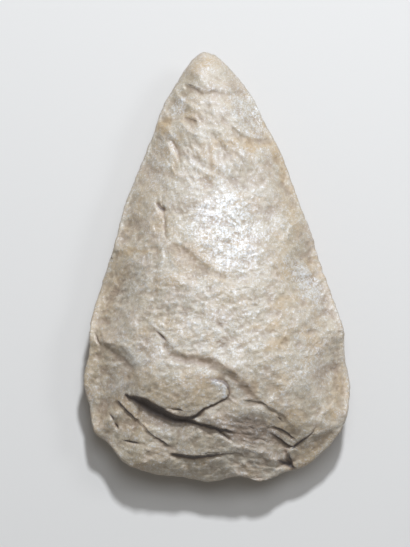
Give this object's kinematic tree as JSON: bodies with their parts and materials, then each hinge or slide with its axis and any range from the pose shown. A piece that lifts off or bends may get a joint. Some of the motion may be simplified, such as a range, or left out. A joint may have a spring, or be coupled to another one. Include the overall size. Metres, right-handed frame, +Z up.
{
  "type": "stone hand axe",
  "caption": "Pointed stone hand axe flaked on both faces, with a sharp margin all round and a thick rounded butt, lying on its flatter face.",
  "frame": {"origin": "on the surface the axe lies on, under the middle of its plan", "axes": "+Y towards the point, +Z up out of the fuller face, +X to the right with the point away from the viewer"},
  "size_m": [0.1074, 0.173, 0.0429],
  "materials": {
    "quartzite": "weathered coarse quartzite, tan with ochre and brown patches, wind-worn to a granular sheen on its high places"
  },
  "bodies": {
    "root": {"hand_axe": "quartzite"}
  },
  "joints": []
}
